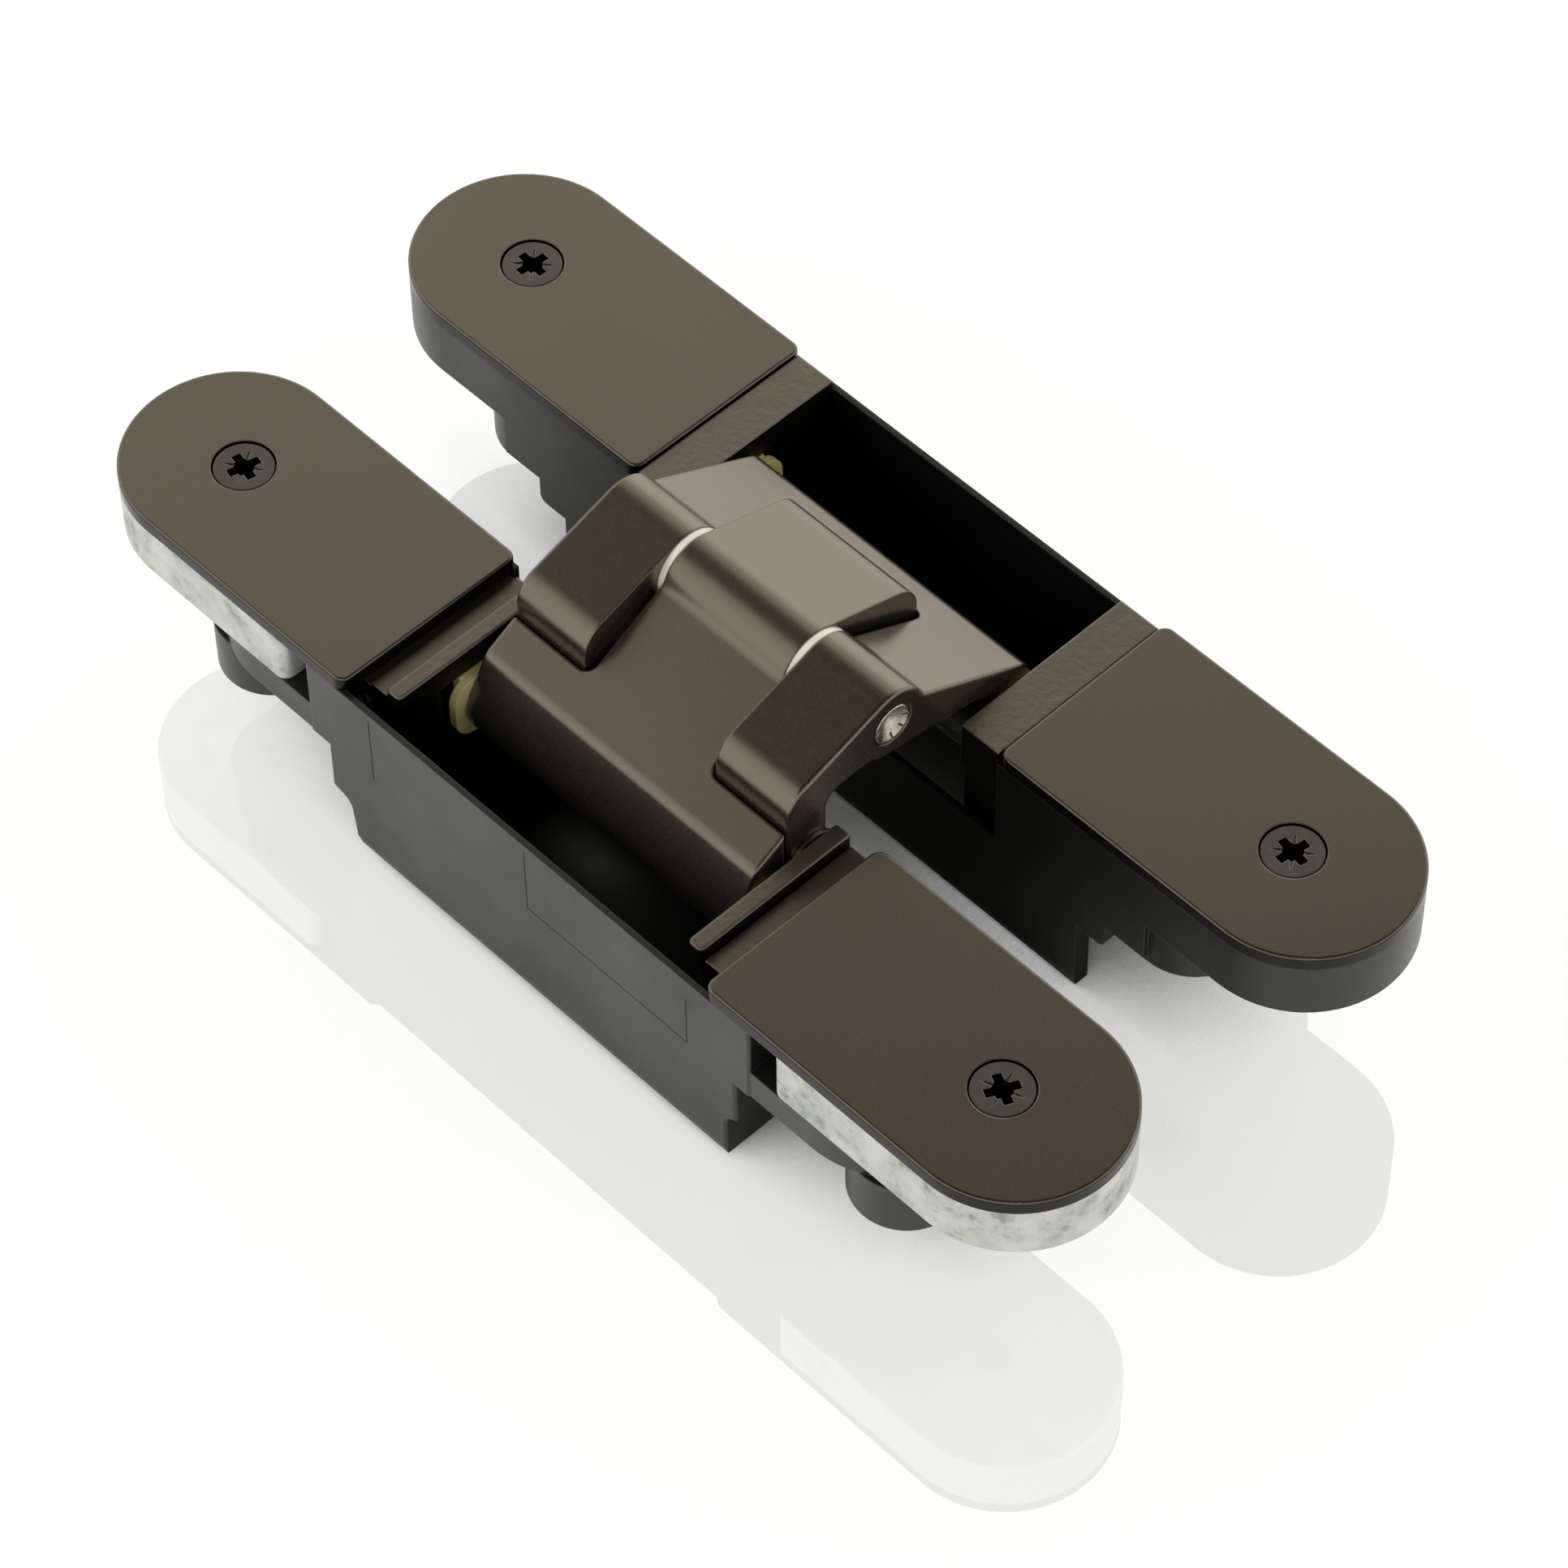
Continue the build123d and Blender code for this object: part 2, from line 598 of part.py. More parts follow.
def line_meets_circle(start, stop, centre, radius):
    """Finds where the line from a point inside a circle to one outside leaves the circle."""
    path = Vector(*stop) - Vector(*start)
    gap = Vector(*start) - Vector(*centre)
    middle = -path.dot(gap) / path.dot(path)
    share = middle + sqrt(middle ** 2 - (gap.dot(gap) - radius ** 2) / path.dot(path))
    spot = Vector(*start) + path * share
    return (spot.X, spot.Y)


def seen(offset, sunk):
    """Turns an offset from the centre line and a depth under the face into a sketch point."""
    return (offset, face - sunk)


def wide_outline(side):
    """Sketches the wide end of an arm from the knuckle to the barrel."""
    knuckle = (0, centre_z)
    barrel = (slide_offset, slide_z)
    brow = seen(*wide_brow)
    low = seen(*wide_under_low)
    bend = seen(*wide_under_bend)
    corners = [knuckle, seen(*wide_slope_start), brow,
               touch_point(brow, barrel, barrel_radius, -1), barrel,
               touch_point(low, barrel, barrel_radius, 1), low, bend,
               touch_point(bend, knuckle, knuckle_radius, -1)]
    Polygon(*[(side * y, z) for y, z in corners], align=None)
    for y, z, radius in ((*knuckle, knuckle_radius), (*barrel, barrel_radius)):
        with Locations((side * y, z)):
            Circle(radius)
    root = line_meets_circle(seen(*wide_slope_start), brow, knuckle, knuckle_radius)
    fillet(vertices().sort_by_distance((side * root[0], root[1]))[0], wide_root_radius)
    fillet(vertices().sort_by_distance((side * brow[0], brow[1]))[0], wide_brow_radius)
    fillet(vertices().sort_by_distance((side * low[0], low[1]))[0], wide_under_radius)


def finger_outline(side):
    """Sketches the pinned end of an arm: a slope, a bend and a leg that ends in an eye."""
    knuckle = (0, centre_z)
    eye = (pivot_offset, pivot_z)
    slope = radians(finger_slope)
    crest = (knuckle_radius * sin(slope), centre_z + knuckle_radius * cos(slope))
    shoulder = (finger_outer, crest[1] - (finger_outer - crest[0]) * tan(slope))
    under = (finger_inner, face + finger_under_height)
    corners = [knuckle, crest, shoulder, (finger_outer, pivot_z), (finger_inner, pivot_z), under,
               (finger_under_start, face + finger_under_height)]
    Polygon(*[(side * y, z) for y, z in corners], align=None)
    for y, z, radius in ((*knuckle, knuckle_radius), (*eye, eye_radius)):
        with Locations((side * y, z)):
            Circle(radius)
    fillet(vertices().sort_by_distance((side * shoulder[0], shoulder[1]))[0], finger_bend_radius)
    fillet(vertices().sort_by_distance((side * under[0], under[1]))[0], finger_under_radius)


def edges_on_ends(piece, limit):
    """Picks the outline edges of the two flat faces that lie at plus and minus the limit in x."""
    flats = piece.faces().filter_by(Axis.X).filter_by(lambda f: abs(abs(f.center().X) - limit) < tolerance)
    return flats.edges()


# Central arm: knuckle and neck between the fork's fingers, wide end in the frame side
with BuildPart() as central_arm:
    with BuildSketch(Plane.YZ.offset(-arm_half)):
        wide_outline(-1)
    extrude(amount=arm_width)
    with BuildSketch(Plane.YZ.offset(-neck_half)):
        finger_outline(1)
    extrude(amount=2 * neck_half)
    with BuildSketch():
        for end in (-1, 1):
            with Locations((end * (neck_half + arm_half + cut_past) / 2, (slide_offset - notch_depth) / 2)):
                Rectangle(arm_half - neck_half + cut_past, slide_offset + notch_depth)
        corners = [v for v in vertices() if abs(abs(v.X) - neck_half) < tolerance and v.Y < 0]
        fillet(corners, notch_corner_radius)
    extrude(amount=2 * face, mode=Mode.SUBTRACT)
    fillet(edges_on_ends(central_arm, arm_half), arm_edge_radius)
    through = (-arm_half - cut_past, arm_half + cut_past)
    x_cylinder(centre_pin_diameter / 2 + pin_clearance, through, 0, centre_z, Mode.SUBTRACT)
    x_cylinder(slide_pin_diameter / 2 + pin_clearance, through, -slide_offset, slide_z, Mode.SUBTRACT)
    x_cylinder(eye_bore / 2, through, pivot_offset, pivot_z, Mode.SUBTRACT)
save(central_arm.part, "central_arm")

# Forked arm: two outer knuckles and fingers, wide end in the leaf side
with BuildPart() as forked_arm:
    with BuildSketch(Plane.YZ.offset(-arm_half)):
        wide_outline(1)
    extrude(amount=arm_width)
    with BuildSketch(Plane.YZ.offset(-arm_half)):
        finger_outline(-1)
    extrude(amount=arm_width)
    with BuildSketch():
        slot_length = notch_depth + slide_offset
        with Locations((0, notch_depth - slot_length / 2)):
            Rectangle(2 * notch_start, slot_length)
        corners = [v for v in vertices() if v.Y > 0]
        fillet(corners, notch_corner_radius)
    extrude(amount=2 * face, mode=Mode.SUBTRACT)
    fillet(edges_on_ends(forked_arm, arm_half), arm_edge_radius)
    x_cylinder(centre_pin_diameter / 2 + pin_clearance, through, 0, centre_z, Mode.SUBTRACT)
    for end in (-1, 1):
        x_cylinder(centre_pin_diameter / 2 + 2 * pin_clearance + bush_wall,
                   (end * (notch_start - cut_past), end * centre_bush_end), 0, centre_z, Mode.SUBTRACT)
    x_cylinder(slide_pin_diameter / 2 + pin_clearance, through, slide_offset, slide_z, Mode.SUBTRACT)
    x_cylinder(eye_bore / 2, through, -pivot_offset, pivot_z, Mode.SUBTRACT)
save(forked_arm.part, "forked_arm")

# Centre pin with a shallow cone in each end and short nicks round its rim
with BuildPart() as centre_pin:
    x_cylinder(centre_pin_diameter / 2, (-arm_half, arm_half), 0, centre_z)
    chamfer(centre_pin.faces().filter_by(Axis.X).edges(), pin_chamfer)
    for end in (-1, 1):
        with Locations(Location((end * (arm_half - centre_pin_dimple_depth / 2), 0, centre_z),
                                (0, end * 90, 0))):
            Cone(centre_pin_dimple_tip / 2, centre_pin_dimple / 2, centre_pin_dimple_depth,
                 mode=Mode.SUBTRACT)
        with BuildSketch(Plane.YZ.offset(end * arm_half)):
            with Locations((0, centre_z)):
                with PolarLocations(centre_pin_dimple / 2 - pin_nick_length / 4, pin_nicks):
                    Rectangle(pin_nick_length, pin_nick_width)
        extrude(amount=-end * pin_nick_depth, mode=Mode.SUBTRACT)
save(centre_pin.part, "centre_pin")

# White flanged bushes: the sleeve is in the fork's knuckle, the flange shows between the knuckles
for end_name, end in ends:
    with BuildPart() as centre_bush:
        flange = (end * (neck_half + pin_clearance), end * (notch_start - pin_clearance))
        x_cylinder(knuckle_radius - running_clearance, flange, 0, centre_z)
        x_cylinder(centre_pin_diameter / 2 + pin_clearance + bush_wall,
                   (flange[0], end * (centre_bush_end - pin_clearance)), 0, centre_z)
        x_cylinder(centre_pin_diameter / 2 + pin_clearance, (0, end * arm_half), 0, centre_z, Mode.SUBTRACT)
    save(centre_bush.part, f"centre_bush_{end_name}")

# Liners in the arms' eyes
eye_spans = (("frame_pivot_bush_left", -1, (-arm_half, -notch_start)),
             ("frame_pivot_bush_right", -1, (notch_start, arm_half)),
             ("leaf_pivot_bush", 1, (-neck_half, neck_half)))
for name, side, span in eye_spans:
    with BuildPart() as eye_bush:
        x_cylinder(eye_bore / 2 - pin_clearance, span, side * pivot_offset, pivot_z)
        x_cylinder(pivot_pin_diameter / 2 + pin_clearance, through, side * pivot_offset, pivot_z,
                   Mode.SUBTRACT)
    save(eye_bush.part, name)

# Pivot pins in the bearing blocks, slide pins in the arms' barrels
pivot_reach = bearing_outer - 2 * hairline
for side_name, side in sides:
    with BuildPart() as pivot_pin:
        x_cylinder(pivot_pin_diameter / 2, (-pivot_reach, pivot_reach), side * pivot_offset, pivot_z)
        chamfer(pivot_pin.faces().filter_by(Axis.X).edges(), pin_chamfer)
    save(pivot_pin.part, f"{side_name}_pivot_pin")
    with BuildPart() as slide_pin:
        x_cylinder(slide_pin_diameter / 2, (-shoe_end + hairline, shoe_end - hairline),
                   side * slide_offset, slide_z)
        chamfer(slide_pin.faces().filter_by(Axis.X).edges(), pin_chamfer)
    save(slide_pin.part, f"{side_name}_slide_pin")

# Thin washers between the fork and the frame bearing blocks
for end_name, end in ends:
    with BuildPart() as washer:
        x_cylinder(washer_diameter / 2, (end * washer_start, end * (washer_start + washer_thickness)),
                   -pivot_offset, pivot_z)
        x_cylinder(pivot_pin_diameter / 2 + pin_clearance, (0, end * block_inner), -pivot_offset,
                   pivot_z, Mode.SUBTRACT)
    save(washer.part, f"frame_pivot_washer_{end_name}")

# Cream shoes, which turn on the slide pins and run up and down in the blocks' grooves
for side_name, side in sides:
    for end_name, end in ends:
        with BuildPart() as shoe:
            with BuildSketch(Plane.YZ.offset(end * shoe_start)):
                with Locations((side * (slide_offset + shoe_shift), slide_z)):
                    RectangleRounded(shoe_width, shoe_height, shoe_corner_radius)
            extrude(amount=end * shoe_flange_thickness)
            box((end * shoe_shoulder, end * shoe_end),
                (side * slide_offset - shoe_runner_width / 2, side * slide_offset + shoe_runner_width / 2),
                (slide_z - shoe_height / 2, slide_z + shoe_height / 2))
            x_cylinder(slide_pin_diameter / 2 + pin_clearance,
                       (end * (shoe_start - cut_past), end * (shoe_end + cut_past)),
                       side * slide_offset, slide_z, Mode.SUBTRACT)
        save(shoe.part, f"{side_name}_slide_shoe_{end_name}")
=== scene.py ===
import json
import math

import bpy
import numpy as np
from mathutils import Matrix, Vector

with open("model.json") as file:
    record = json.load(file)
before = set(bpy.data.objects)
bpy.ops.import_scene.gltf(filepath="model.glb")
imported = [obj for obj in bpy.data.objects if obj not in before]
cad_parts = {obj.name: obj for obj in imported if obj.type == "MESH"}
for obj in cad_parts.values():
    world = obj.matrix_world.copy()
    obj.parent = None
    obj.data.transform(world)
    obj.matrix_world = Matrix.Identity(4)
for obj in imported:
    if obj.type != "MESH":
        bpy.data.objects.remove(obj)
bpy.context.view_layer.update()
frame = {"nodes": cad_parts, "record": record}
mm = 0.001
face = 32.4 * mm  # height of the covers' top plane
nodes = frame["nodes"]
slotOfNode = {entry["node"]: entry["material_slot"] for entry in frame["record"]["subparts"]}
print("frame loaded:", len(nodes), "nodes")


def linear(hexCode):
    # sRGB hex to the linear colour that nodes and lamps take
    channel = np.array([int(hexCode[i:i + 2], 16) / 255 for i in (1, 3, 5)])
    bent = np.where(channel <= 0.04045, channel / 12.92, ((channel + 0.055) / 1.055) ** 2.4)
    return (*[float(value) for value in bent], 1.0)


# Camera, fitted to the photograph: the target lies on the covers' top plane
cameraView = {
    "azimuth": 46.394, "elevation": 52.037, "roll": -0.718,
    "distance": 692.73 * mm, "target": (16.361 * mm, -11.089 * mm, face),
    "focalPixels": 7410.5, "imagePixels": 1932, "sensor": 36.0, "nearClip": 10 * mm,
}


def placeCamera(view):
    # back points from the target to the camera; right and top are the picture's own directions
    azimuth, elevation, roll = (math.radians(view[name]) for name in ("azimuth", "elevation", "roll"))
    back = Vector((math.sin(azimuth) * math.cos(elevation),
                   -math.cos(azimuth) * math.cos(elevation), math.sin(elevation)))
    side = (-back).cross(Vector((0, 0, 1))).normalized()
    up = side.cross(-back)
    right = side * math.cos(roll) + up * math.sin(roll)
    top = up * math.cos(roll) - side * math.sin(roll)
    data = bpy.data.cameras.new("photoCamera")
    data.sensor_width = view["sensor"]
    data.lens = view["sensor"] * view["focalPixels"] / view["imagePixels"]
    data.clip_start = view["nearClip"]
    camera = bpy.data.objects.new("photoCamera", data)
    place = Matrix.Translation(Vector(view["target"]) + back * view["distance"])
    camera.matrix_world = place @ Matrix((right, top, back)).transposed().to_4x4()
    bpy.context.scene.collection.objects.link(camera)
    bpy.context.scene.camera = camera


placeCamera(cameraView)
print("camera placed")


def addNode(tree, kind, settings=None, inputs=None, output=0):
    # one node with its settings and its inputs, each a socket, a hex colour or a plain value;
    # it gives the output that is named, or the node itself where output is None
    node = tree.nodes.new(kind)
    for name, value in (settings or {}).items():
        setattr(node, name, value)
    for name, value in (inputs or {}).items():
        if isinstance(value, bpy.types.NodeSocket):
            tree.links.new(value, node.inputs[name])
        else:
            node.inputs[name].default_value = linear(value) if isinstance(value, str) else value
    return node if output is None else node.outputs[output]


def startMaterial(name, look, sockets):
    # an empty material: its shader, its place on the object in metres, and its normal with the
    # edges rounded over look["edge"] millimetres
    material = bpy.data.materials.new(name)
    material.use_nodes = True
    tree = material.node_tree
    tree.nodes.clear()
    shader = addNode(tree, "ShaderNodeBsdfPrincipled", None, sockets, None)
    addNode(tree, "ShaderNodeOutputMaterial", None, {"Surface": shader.outputs["BSDF"]}, None)
    place = addNode(tree, "ShaderNodeTexCoord", output="Object")
    rounded = addNode(tree, "ShaderNodeBevel", {"samples": 6}, {"Radius": look["edge"] * mm})
    return material, tree, shader, place, rounded


def cloudPattern(tree, place, size, detail, rough, low, high):
    # noise with lumps about size millimetres across, its span low..high stretched over 0..1
    lumps = addNode(tree, "ShaderNodeTexNoise", None, {"Vector": place, "Scale": 1 / (size * mm),
                                                       "Detail": detail, "Roughness": rough})
    return addNode(tree, "ShaderNodeMapRange", None, {"Value": lumps, "From Min": low, "From Max": high})


def rubEdges(tree, look, rounded, colour):
    # edges take the edge colour by how far the rounding turns the surface: none on flats
    flat = addNode(tree, "ShaderNodeNewGeometry", output="Normal")
    along = addNode(tree, "ShaderNodeVectorMath", {"operation": "DOT_PRODUCT"},
                    {0: rounded, 1: flat}, "Value")
    worn = addNode(tree, "ShaderNodeMapRange", None, {"Value": along, "From Min": 0.995, "From Max": 0.9,
                                                      "To Max": look["edgeWear"]})
    return addNode(tree, "ShaderNodeMix", {"data_type": "RGBA"},
                   {0: worn, 6: colour, 7: look["edgeColour"]}, 2)


def finishMaterial(tree, shader, look, colour, cloud, relief, rounded):
    # colour as it is, roughness by the cloud pattern, bump by the relief pattern
    tree.links.new(colour, shader.inputs["Base Color"])
    roughness = addNode(tree, "ShaderNodeMapRange", None, {
        "Value": cloud, "To Min": look["roughness"][0], "To Max": look["roughness"][1]})
    tree.links.new(roughness, shader.inputs["Roughness"])
    bump = addNode(tree, "ShaderNodeBump", None, {"Strength": look["relief"], "Height": relief,
                                                  "Distance": look["reliefHeight"] * mm, "Normal": rounded})
    tree.links.new(bump, shader.inputs["Normal"])


def paintedMetal(name, look):
    # colour drifts over the part, the grain is fine, the edges are rubbed a little lighter, and upright faces
    # and recesses are darkened with painted shade
    material, tree, shader, place, rounded = startMaterial(name, look, {"Metallic": look["metallic"]})
    drift = cloudPattern(tree, place, look["driftSize"], 2.0, 0.5, 0.35, 0.65)
    grain = cloudPattern(tree, place, look["grainSize"], 2.0, 0.5, 0.3, 0.7)
    colour = addNode(tree, "ShaderNodeMix", {"data_type": "RGBA"},
                     {0: drift, 6: look["colour"], 7: look["colourTo"]}, 2)
    speck = addNode(tree, "ShaderNodeMapRange", None, {"Value": grain, "To Max": look["speckle"]})
    colour = addNode(tree, "ShaderNodeMix", {"data_type": "RGBA"},
                     {0: speck, 6: colour, 7: look["speckColour"]}, 2)
    colour = rubEdges(tree, look, rounded, colour)
    # painted shade: upright faces are darkened as if lit only from above, and what lies low in a recess is
    # darkened as well
    turned = addNode(tree, "ShaderNodeTexCoord", output="Normal")
    upward = addNode(tree, "ShaderNodeSeparateXYZ", None, {0: turned}, "Z")
    paintedSideShade = addNode(tree, "ShaderNodeMapRange", None, {
        "Value": upward, "From Min": 0.7, "From Max": 0.3, "To Max": look["paintedSideShade"]})
    level = addNode(tree, "ShaderNodeSeparateXYZ", None, {0: place}, "Z")
    deep = addNode(tree, "ShaderNodeMapRange", None, {
        "Value": level, "From Min": face - look["deepFrom"] * mm, "From Max": face - look["deepTo"] * mm,
        "To Max": look["deep"]})
    # both masks blend toward the painted shade colour
    for shade in (paintedSideShade, deep):
        colour = addNode(tree, "ShaderNodeMix", {"data_type": "RGBA"},
                         {0: shade, 6: colour, 7: look["paintedShadeColour"]}, 2)
    finishMaterial(tree, shader, look, colour, grain, grain, rounded)
    return material


# Powder coat with metal flake, sprayed and baked on the zinc cover plates: even satin bronze with
# a grain that hardly shows, and thin rims darkened by painted shade on their upright faces
coverLook = {"colour": "#7b7467", "colourTo": "#777063", "driftSize": 45.0, "metallic": 0.95,
             "speckColour": "#827b6d", "speckle": 0.2, "grainSize": 0.45, "roughness": (0.26, 0.28),
             "relief": 0.02, "reliefHeight": 0.02, "edge": 0.25, "edgeWear": 0.35, "edgeColour": "#8a8172",
             "paintedSideShade": 0.95, "deep": 0.0, "deepFrom": 0.3, "deepTo": 0.9, "paintedShadeColour": "#1a1814"}
# The same coat on the smooth cast arms: rounder edges, and no painted shade on upright faces
armLook = dict(coverLook, colour="#7d7568", colourTo="#7a7265", grainSize=0.5, edge=0.4, edgeWear=0.4,
               paintedSideShade=0.0)
# The same coat on the rough cast blocks beside the arms: pebbled and duller, with pale edges and painted
# shade on upright faces
blockLook = dict(coverLook, colour="#827b6c", colourTo="#7b7467", roughness=(0.39, 0.41), grainSize=0.9,
                 relief=0.35, reliefHeight=0.05, edge=0.35, edgeWear=0.7, edgeColour="#a09a8a")
# Bronzed steel of the cover screws: a matt face, a recess blackened by painted shade, painted shade on
# upright faces and bare bright edges
screwLook = dict(coverLook, colour="#67635c", colourTo="#625e58", metallic=0.9, roughness=(0.41, 0.43),
                 driftSize=3.0, grainSize=0.4, relief=0.1, edge=0.15, edgeWear=0.8, edgeColour="#a59f90",
                 deep=1.0)


def mouldedNylon(name, look):
    # even colour with faint clouds, and the orange peel of the mould
    material, tree, shader, place, rounded = startMaterial(name, look, {
        "IOR": look["ior"], "Specular Tint": look["sheen"]})
    cloud = cloudPattern(tree, place, look["cloudSize"], 3.0, 0.5, 0.3, 0.7)
    peel = addNode(tree, "ShaderNodeTexNoise", None, {"Vector": place, "Scale": 1 / (look["peelSize"] * mm),
                                                      "Detail": 2.0, "Roughness": 0.5})
    colour = addNode(tree, "ShaderNodeMix", {"data_type": "RGBA"},
                     {0: cloud, 6: look["colour"], 7: look["colourTo"]}, 2)
    colour = rubEdges(tree, look, rounded, colour)
    finishMaterial(tree, shader, look, colour, cloud, peel, rounded)
    return material


# Glass-filled nylon as it leaves the mould: the leaf's black nylon painted dark grey, painted light for its
# lit front walls, with a soft sheen that greys it under the sky
frameNylonLook = {"colour": "#1f201f", "colourTo": "#1a1b1a", "cloudSize": 12.0, "ior": 1.53,
                  "sheen": "#f7f8ee", "roughness": (0.27, 0.39), "peelSize": 0.6, "relief": 0.2,
                  "reliefHeight": 0.02, "edge": 0.25, "edgeWear": 0.4, "edgeColour": "#3f4242"}
# The same nylon in its own black, without the painted light, for the leaf's housing
leafNylonLook = dict(frameNylonLook, colour="#0c0c0c", colourTo="#090909", edgeColour="#2a2c2d")
# Unfilled white nylon, moulded bushes: milky and smooth
bushNylonLook = dict(frameNylonLook, colour="#f4f0e3", colourTo="#ebe7d9", edgeColour="#f8f5ec",
                     roughness=(0.39, 0.51), cloudSize=3.0)
# Unfilled nylon yellowed to cream, moulded shoes and spacers: waxy
shoeNylonLook = dict(frameNylonLook, colour="#cdc28a", colourTo="#beb478", edgeColour="#dbd2a0",
                     roughness=(0.36, 0.48), cloudSize=3.0)


def castZinc(name, look):
    # large soft clouds, darker smudges where large and small lumps meet, brighter on edges
    material, tree, shader, place, rounded = startMaterial(name, look, {"Metallic": look["metallic"]})
    large = addNode(tree, "ShaderNodeTexNoise", None, {"Vector": place, "Scale": 1 / (look["bloomSize"] * mm),
                                                       "Detail": 5.0, "Roughness": 0.65})
    small = addNode(tree, "ShaderNodeTexNoise", None, {"Vector": place, "Scale": 1 / (look["speckSize"] * mm),
                                                       "Detail": 4.0, "Roughness": 0.6})
    gloss = addNode(tree, "ShaderNodeMapRange", None, {"Value": large, "From Min": 0.35, "From Max": 0.65})
    bloom = addNode(tree, "ShaderNodeMapRange", None, {"Value": large, "From Min": 0.4, "From Max": 0.66})
    both = addNode(tree, "ShaderNodeMath", {"operation": "MULTIPLY"}, {0: large, 1: small})
    smudge = addNode(tree, "ShaderNodeMapRange", None, {"Value": both, "From Min": 0.28, "From Max": 0.42})
    colour = addNode(tree, "ShaderNodeMix", {"data_type": "RGBA"},
                     {0: bloom, 6: look["pale"], 7: look["mid"]}, 2)
    colour = addNode(tree, "ShaderNodeMix", {"data_type": "RGBA"}, {0: smudge, 6: colour, 7: look["dark"]}, 2)
    colour = rubEdges(tree, look, rounded, colour)
    finishMaterial(tree, shader, look, colour, gloss, small, rounded)
    return material


# Bare zinc as it leaves the die: a pale oxide skin with grey-green clouds, half metal, half chalk
zincLook = {"pale": "#dbddd6", "mid": "#c6cac2", "dark": "#a3a89e", "bloomSize": 4.5, "speckSize": 1.6,
            "metallic": 0.4, "roughness": (0.36, 0.62), "relief": 0.3, "reliefHeight": 0.04,
            "edge": 0.3, "edgeWear": 0.7, "edgeColour": "#e9ebe6"}


def turnedSteel(name, look):
    # small clouds of brighter and duller metal
    material, tree, shader, place, rounded = startMaterial(name, look, {"Metallic": 1.0})
    cloud = cloudPattern(tree, place, look["cloudSize"], 4.0, 0.6, 0.35, 0.65)
    colour = addNode(tree, "ShaderNodeMix", {"data_type": "RGBA"},
                     {0: cloud, 6: look["colour"], 7: look["colourTo"]}, 2)
    finishMaterial(tree, shader, look, colour, cloud, cloud, rounded)
    return material


# Stainless steel turned on a lathe, the centre pin: bright and clean, a little warm
pinLook = {"colour": "#cbc6bb", "colourTo": "#a39d90", "cloudSize": 0.7, "roughness": (0.24, 0.38),
           "relief": 0.2, "reliefHeight": 0.01, "edge": 0.15}
# Plain turned steel of the hidden pins and screws: greyer and a little duller
steelLook = dict(pinLook, colour="#a9a9a7", colourTo="#8c8c8a", roughness=(0.29, 0.43))

materialOfSlot = {
    # the frame housing's grey is painted light on the same black nylon as the leaf's
    "frame_plastic": mouldedNylon("blackNylonPaintedLighter", frameNylonLook),
    "leaf_plastic": mouldedNylon("blackMouldedNylon", leafNylonLook),
    "raw_zinc": castZinc("bareCastZinc", zincLook),
    "bronze_paint": paintedMetal("bronzePowderCoat", coverLook),
    "arm_paint": paintedMetal("bronzePowderCoatOnArms", armLook),
    "block_paint": paintedMetal("bronzePaintOnCasting", blockLook),
    "screw_bronze": paintedMetal("bronzedScrewSteel", screwLook),
    "stainless": turnedSteel("turnedStainlessSteel", pinLook),
    "hidden_steel": turnedSteel("plainTurnedSteel", steelLook),
    "white_bush": mouldedNylon("whiteBushNylon", bushNylonLook),
    "cream_plastic": mouldedNylon("creamShoeNylon", shoeNylonLook),
}
for name, piece in nodes.items():
    piece.data.materials.clear()
    piece.data.materials.append(materialOfSlot[slotOfNode[name]])
print("materials:", len(materialOfSlot))

lamps = {
    "backBox": {"at": (-0.38, 0.72, 0.28), "aim": (0, 0, 0.02), "size": 0.5, "power": 0.4,
                "colour": "#ffffff"},
}


def addLamps(lamps):
    for name, lamp in lamps.items():
        data = bpy.data.lights.new(name, "AREA")
        data.size = lamp["size"]
        data.energy = lamp["power"]
        data.color = linear(lamp["colour"])[:3]
        box = bpy.data.objects.new(name, data)
        box.location = lamp["at"]
        box.rotation_euler = (Vector(lamp["aim"]) - Vector(lamp["at"])).to_track_quat("-Z", "Y").to_euler()
        bpy.context.scene.collection.objects.link(box)


# Studio: a ring of white walls under a dark brown ceiling, as the satin paint mirrors it.
# The height of a direction is its dot product with lean, so the walls reach higher on the left.
# They are white up to the first height of fade and upper at its second; over the heights of
# cornice they give way to the ceiling. Shiny things mirror them at that strength, and fill is the
# light they give to dull things
studio = {"lean": (0.12, 0.0, 1.0), "fade": (0.4, 0.65), "cornice": (0.73, 0.76), "upper": "#e2e1da",
          "overhead": "#180f09", "fill": 1.7, "background": "#ffffff"}


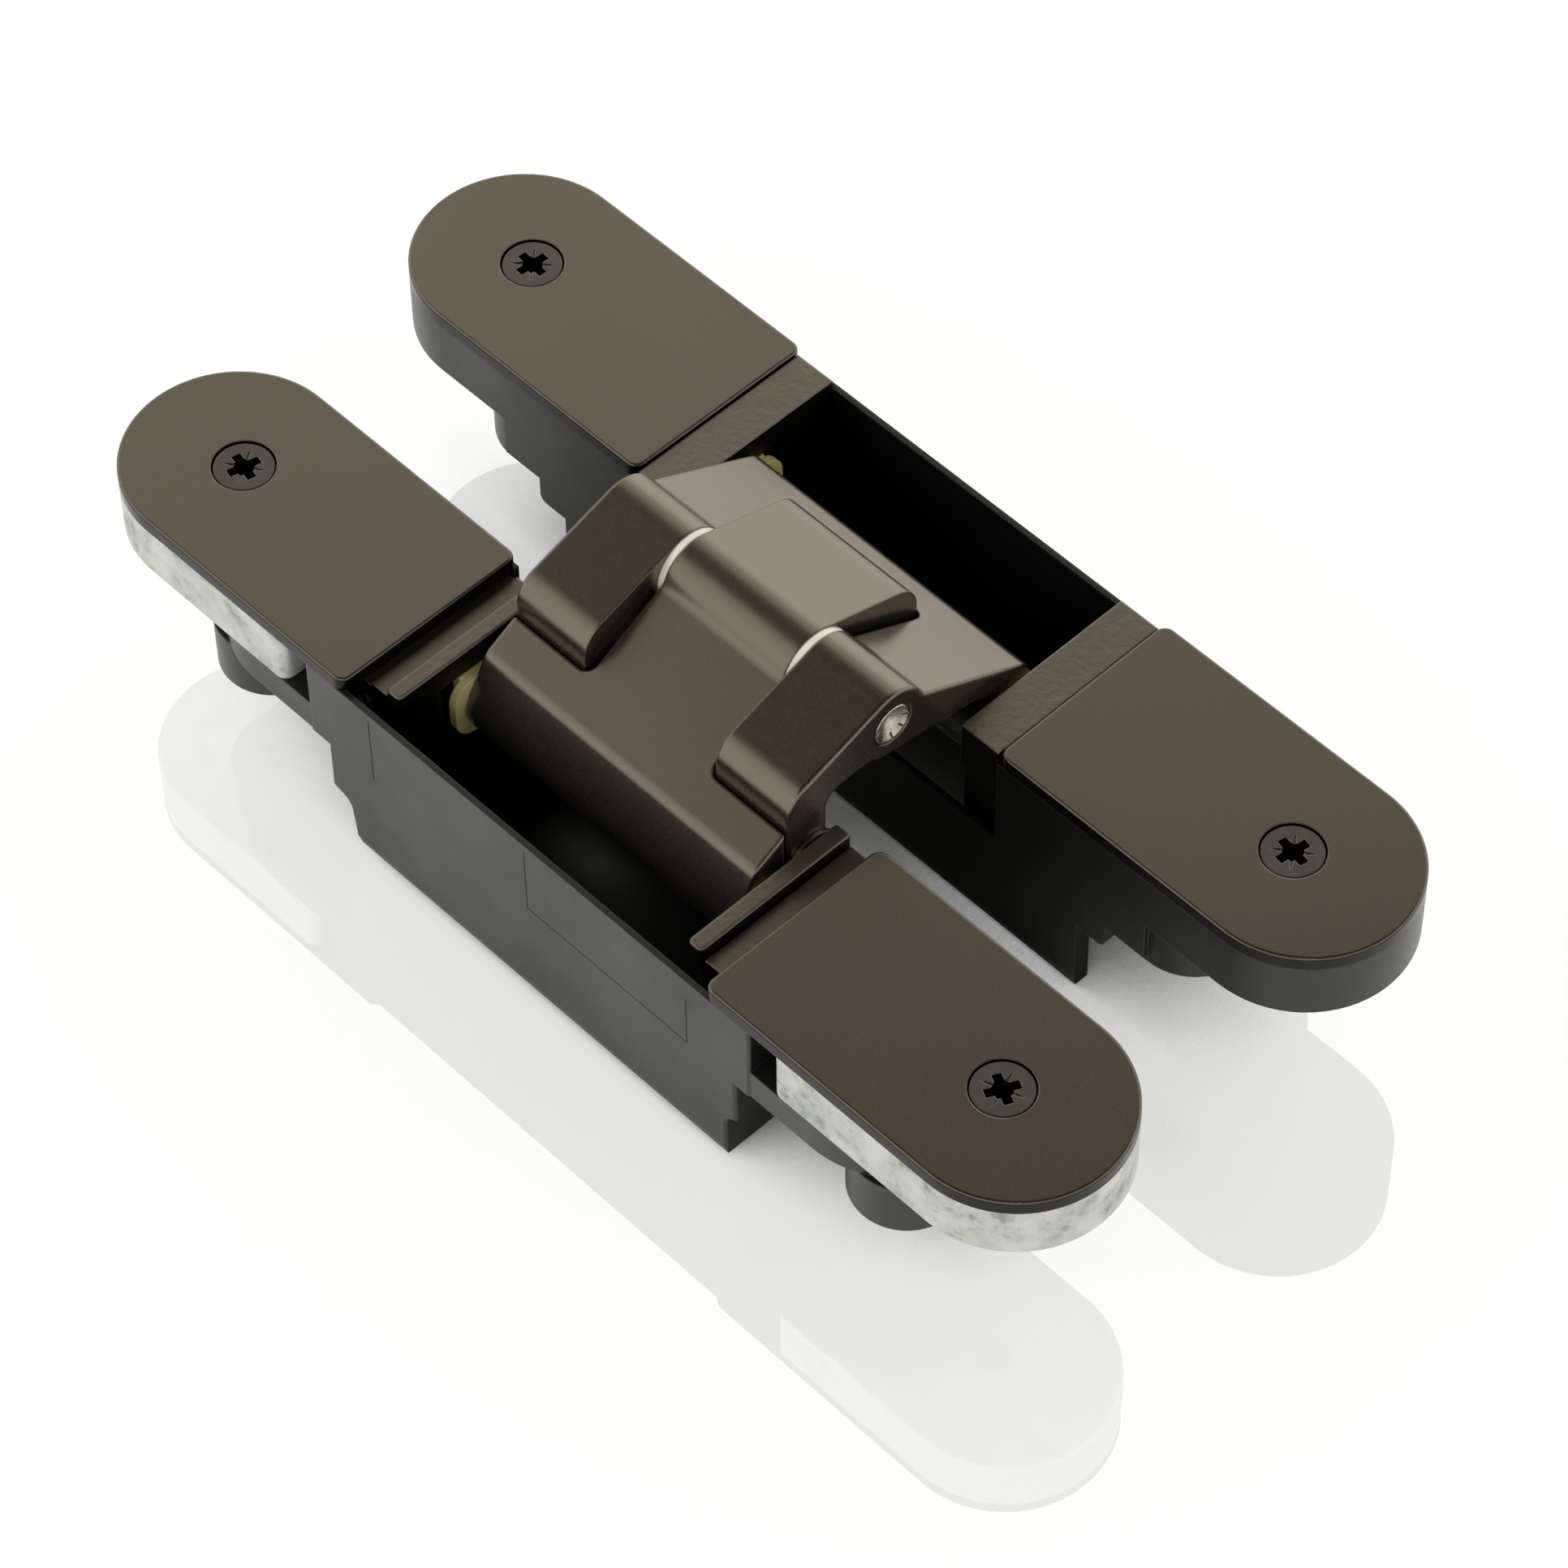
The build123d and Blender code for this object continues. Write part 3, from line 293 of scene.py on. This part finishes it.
def addWorld(look):
    # the ring of walls lights the object; the eye sees the white background
    world = bpy.data.worlds.new("studio")
    world.use_nodes = True
    tree = world.node_tree
    tree.nodes.clear()
    direction = addNode(tree, "ShaderNodeTexCoord", output="Generated")
    height = addNode(tree, "ShaderNodeVectorMath", {"operation": "DOT_PRODUCT"},
                     {0: direction, 1: look["lean"]}, "Value")
    walls = look["background"]
    for (low, high), colour in ((look["fade"], look["upper"]), (look["cornice"], look["overhead"])):
        share = addNode(tree, "ShaderNodeMapRange", None, {
            "Value": height, "From Min": low, "From Max": high})
        walls = addNode(tree, "ShaderNodeMix", {"data_type": "RGBA"}, {0: share, 6: walls, 7: colour}, 2)
    ray = addNode(tree, "ShaderNodeLightPath", output=None).outputs
    shiny = addNode(tree, "ShaderNodeMath", {"operation": "MAXIMUM"},
                    {0: ray["Is Glossy Ray"], 1: ray["Is Transmission Ray"]})
    light = addNode(tree, "ShaderNodeBackground", None, {"Color": walls, "Strength": look["fill"]})
    mirrored = addNode(tree, "ShaderNodeBackground", None, {"Color": walls, "Strength": 1.0})
    room = addNode(tree, "ShaderNodeMixShader", None, {0: shiny, 1: light, 2: mirrored})
    # the eye sees white all round, also in the sharp mirror of the floor
    plain = addNode(tree, "ShaderNodeMath", {"operation": "MAXIMUM"},
                    {0: ray["Is Camera Ray"], 1: ray["Is Singular Ray"]})
    white = addNode(tree, "ShaderNodeBackground", None, {"Color": look["background"], "Strength": 1.0})
    shown = addNode(tree, "ShaderNodeMixShader", None, {0: plain, 1: room, 2: white})
    addNode(tree, "ShaderNodeOutputWorld", None, {"Surface": shown}, None)
    bpy.context.scene.world = world


# Floor: polished white acrylic sheet, lit from inside. Glow is what the eye and shiny things see,
# and colour gives the share of the room's light, which the object shades. Over shadeReach
# millimetres the glow fades as the object closes the view of the sky, a painted shade: from none at
# the first share of open sky in shade to all at its second, and by mirrorShade where the object
# mirrors the floor
floorLook = {"colour": "#8c8b86", "glowColour": "#ffffff", "glow": 0.83, "mirror": 0.2, "shadeReach": 45.0,
             "shade": (0.18, 0.4), "mirrorShade": (0.38, 0.68), "half": 3.0, "level": -0.1}


def addFloor(look):
    mesh = bpy.data.meshes.new("studioFloor")
    half, level = look["half"], look["level"] * mm
    corners = [(-half, -half, level), (half, -half, level), (half, half, level), (-half, half, level)]
    mesh.from_pydata(corners, [], [(0, 1, 2, 3)])
    floor = bpy.data.objects.new("studioFloor", mesh)
    bpy.context.scene.collection.objects.link(floor)
    material = bpy.data.materials.new("whiteAcrylicSheet")
    material.use_nodes = True
    tree = material.node_tree
    tree.nodes.clear()
    ray = addNode(tree, "ShaderNodeLightPath", output=None).outputs
    seen = ray["Is Camera Ray"]
    for kind in ("Is Glossy Ray", "Is Transmission Ray"):
        seen = addNode(tree, "ShaderNodeMath", {"operation": "MAXIMUM"}, {0: seen, 1: ray[kind]})
    # painted shade: the glow is dimmed by the object's ambient occlusion, in the gap between the bodies and
    # in what the object mirrors
    sky = addNode(tree, "ShaderNodeAmbientOcclusion", {"samples": 8},
                  {"Distance": look["shadeReach"] * mm}, "AO")
    low, high = look["shade"]
    toEye = addNode(tree, "ShaderNodeMapRange", None, {"Value": sky, "From Min": low, "From Max": high})
    toEye = addNode(tree, "ShaderNodeMath", {"operation": "MULTIPLY"}, {0: toEye, 1: ray["Is Camera Ray"]})
    low, high = look["mirrorShade"]
    shaded = addNode(tree, "ShaderNodeMapRange", None, {"Value": sky, "From Min": low, "From Max": high})
    shaded = addNode(tree, "ShaderNodeMath", {"operation": "MAXIMUM"}, {0: shaded, 1: toEye})
    glow = addNode(tree, "ShaderNodeMath", {"operation": "MULTIPLY"}, {0: seen, 1: look["glow"]})
    glow = addNode(tree, "ShaderNodeMath", {"operation": "MULTIPLY"}, {0: glow, 1: shaded})
    shine = addNode(tree, "ShaderNodeEmission", None, {"Color": look["glowColour"], "Strength": glow})
    sheet = addNode(tree, "ShaderNodeBsdfDiffuse", None, {"Color": look["colour"]})
    body = addNode(tree, "ShaderNodeAddShader", None, {0: sheet, 1: shine})
    polish = addNode(tree, "ShaderNodeBsdfGlossy", None, {"Color": "#ffffff", "Roughness": 0.0})
    surface = addNode(tree, "ShaderNodeMixShader", None, {0: look["mirror"], 1: body, 2: polish})
    addNode(tree, "ShaderNodeOutputMaterial", None, {"Surface": surface}, None)
    mesh.materials.append(material)


addLamps(lamps)
addWorld(studio)
addFloor(floorLook)
bpy.context.scene.view_settings.view_transform = "Standard"
print("lamps and floor placed")
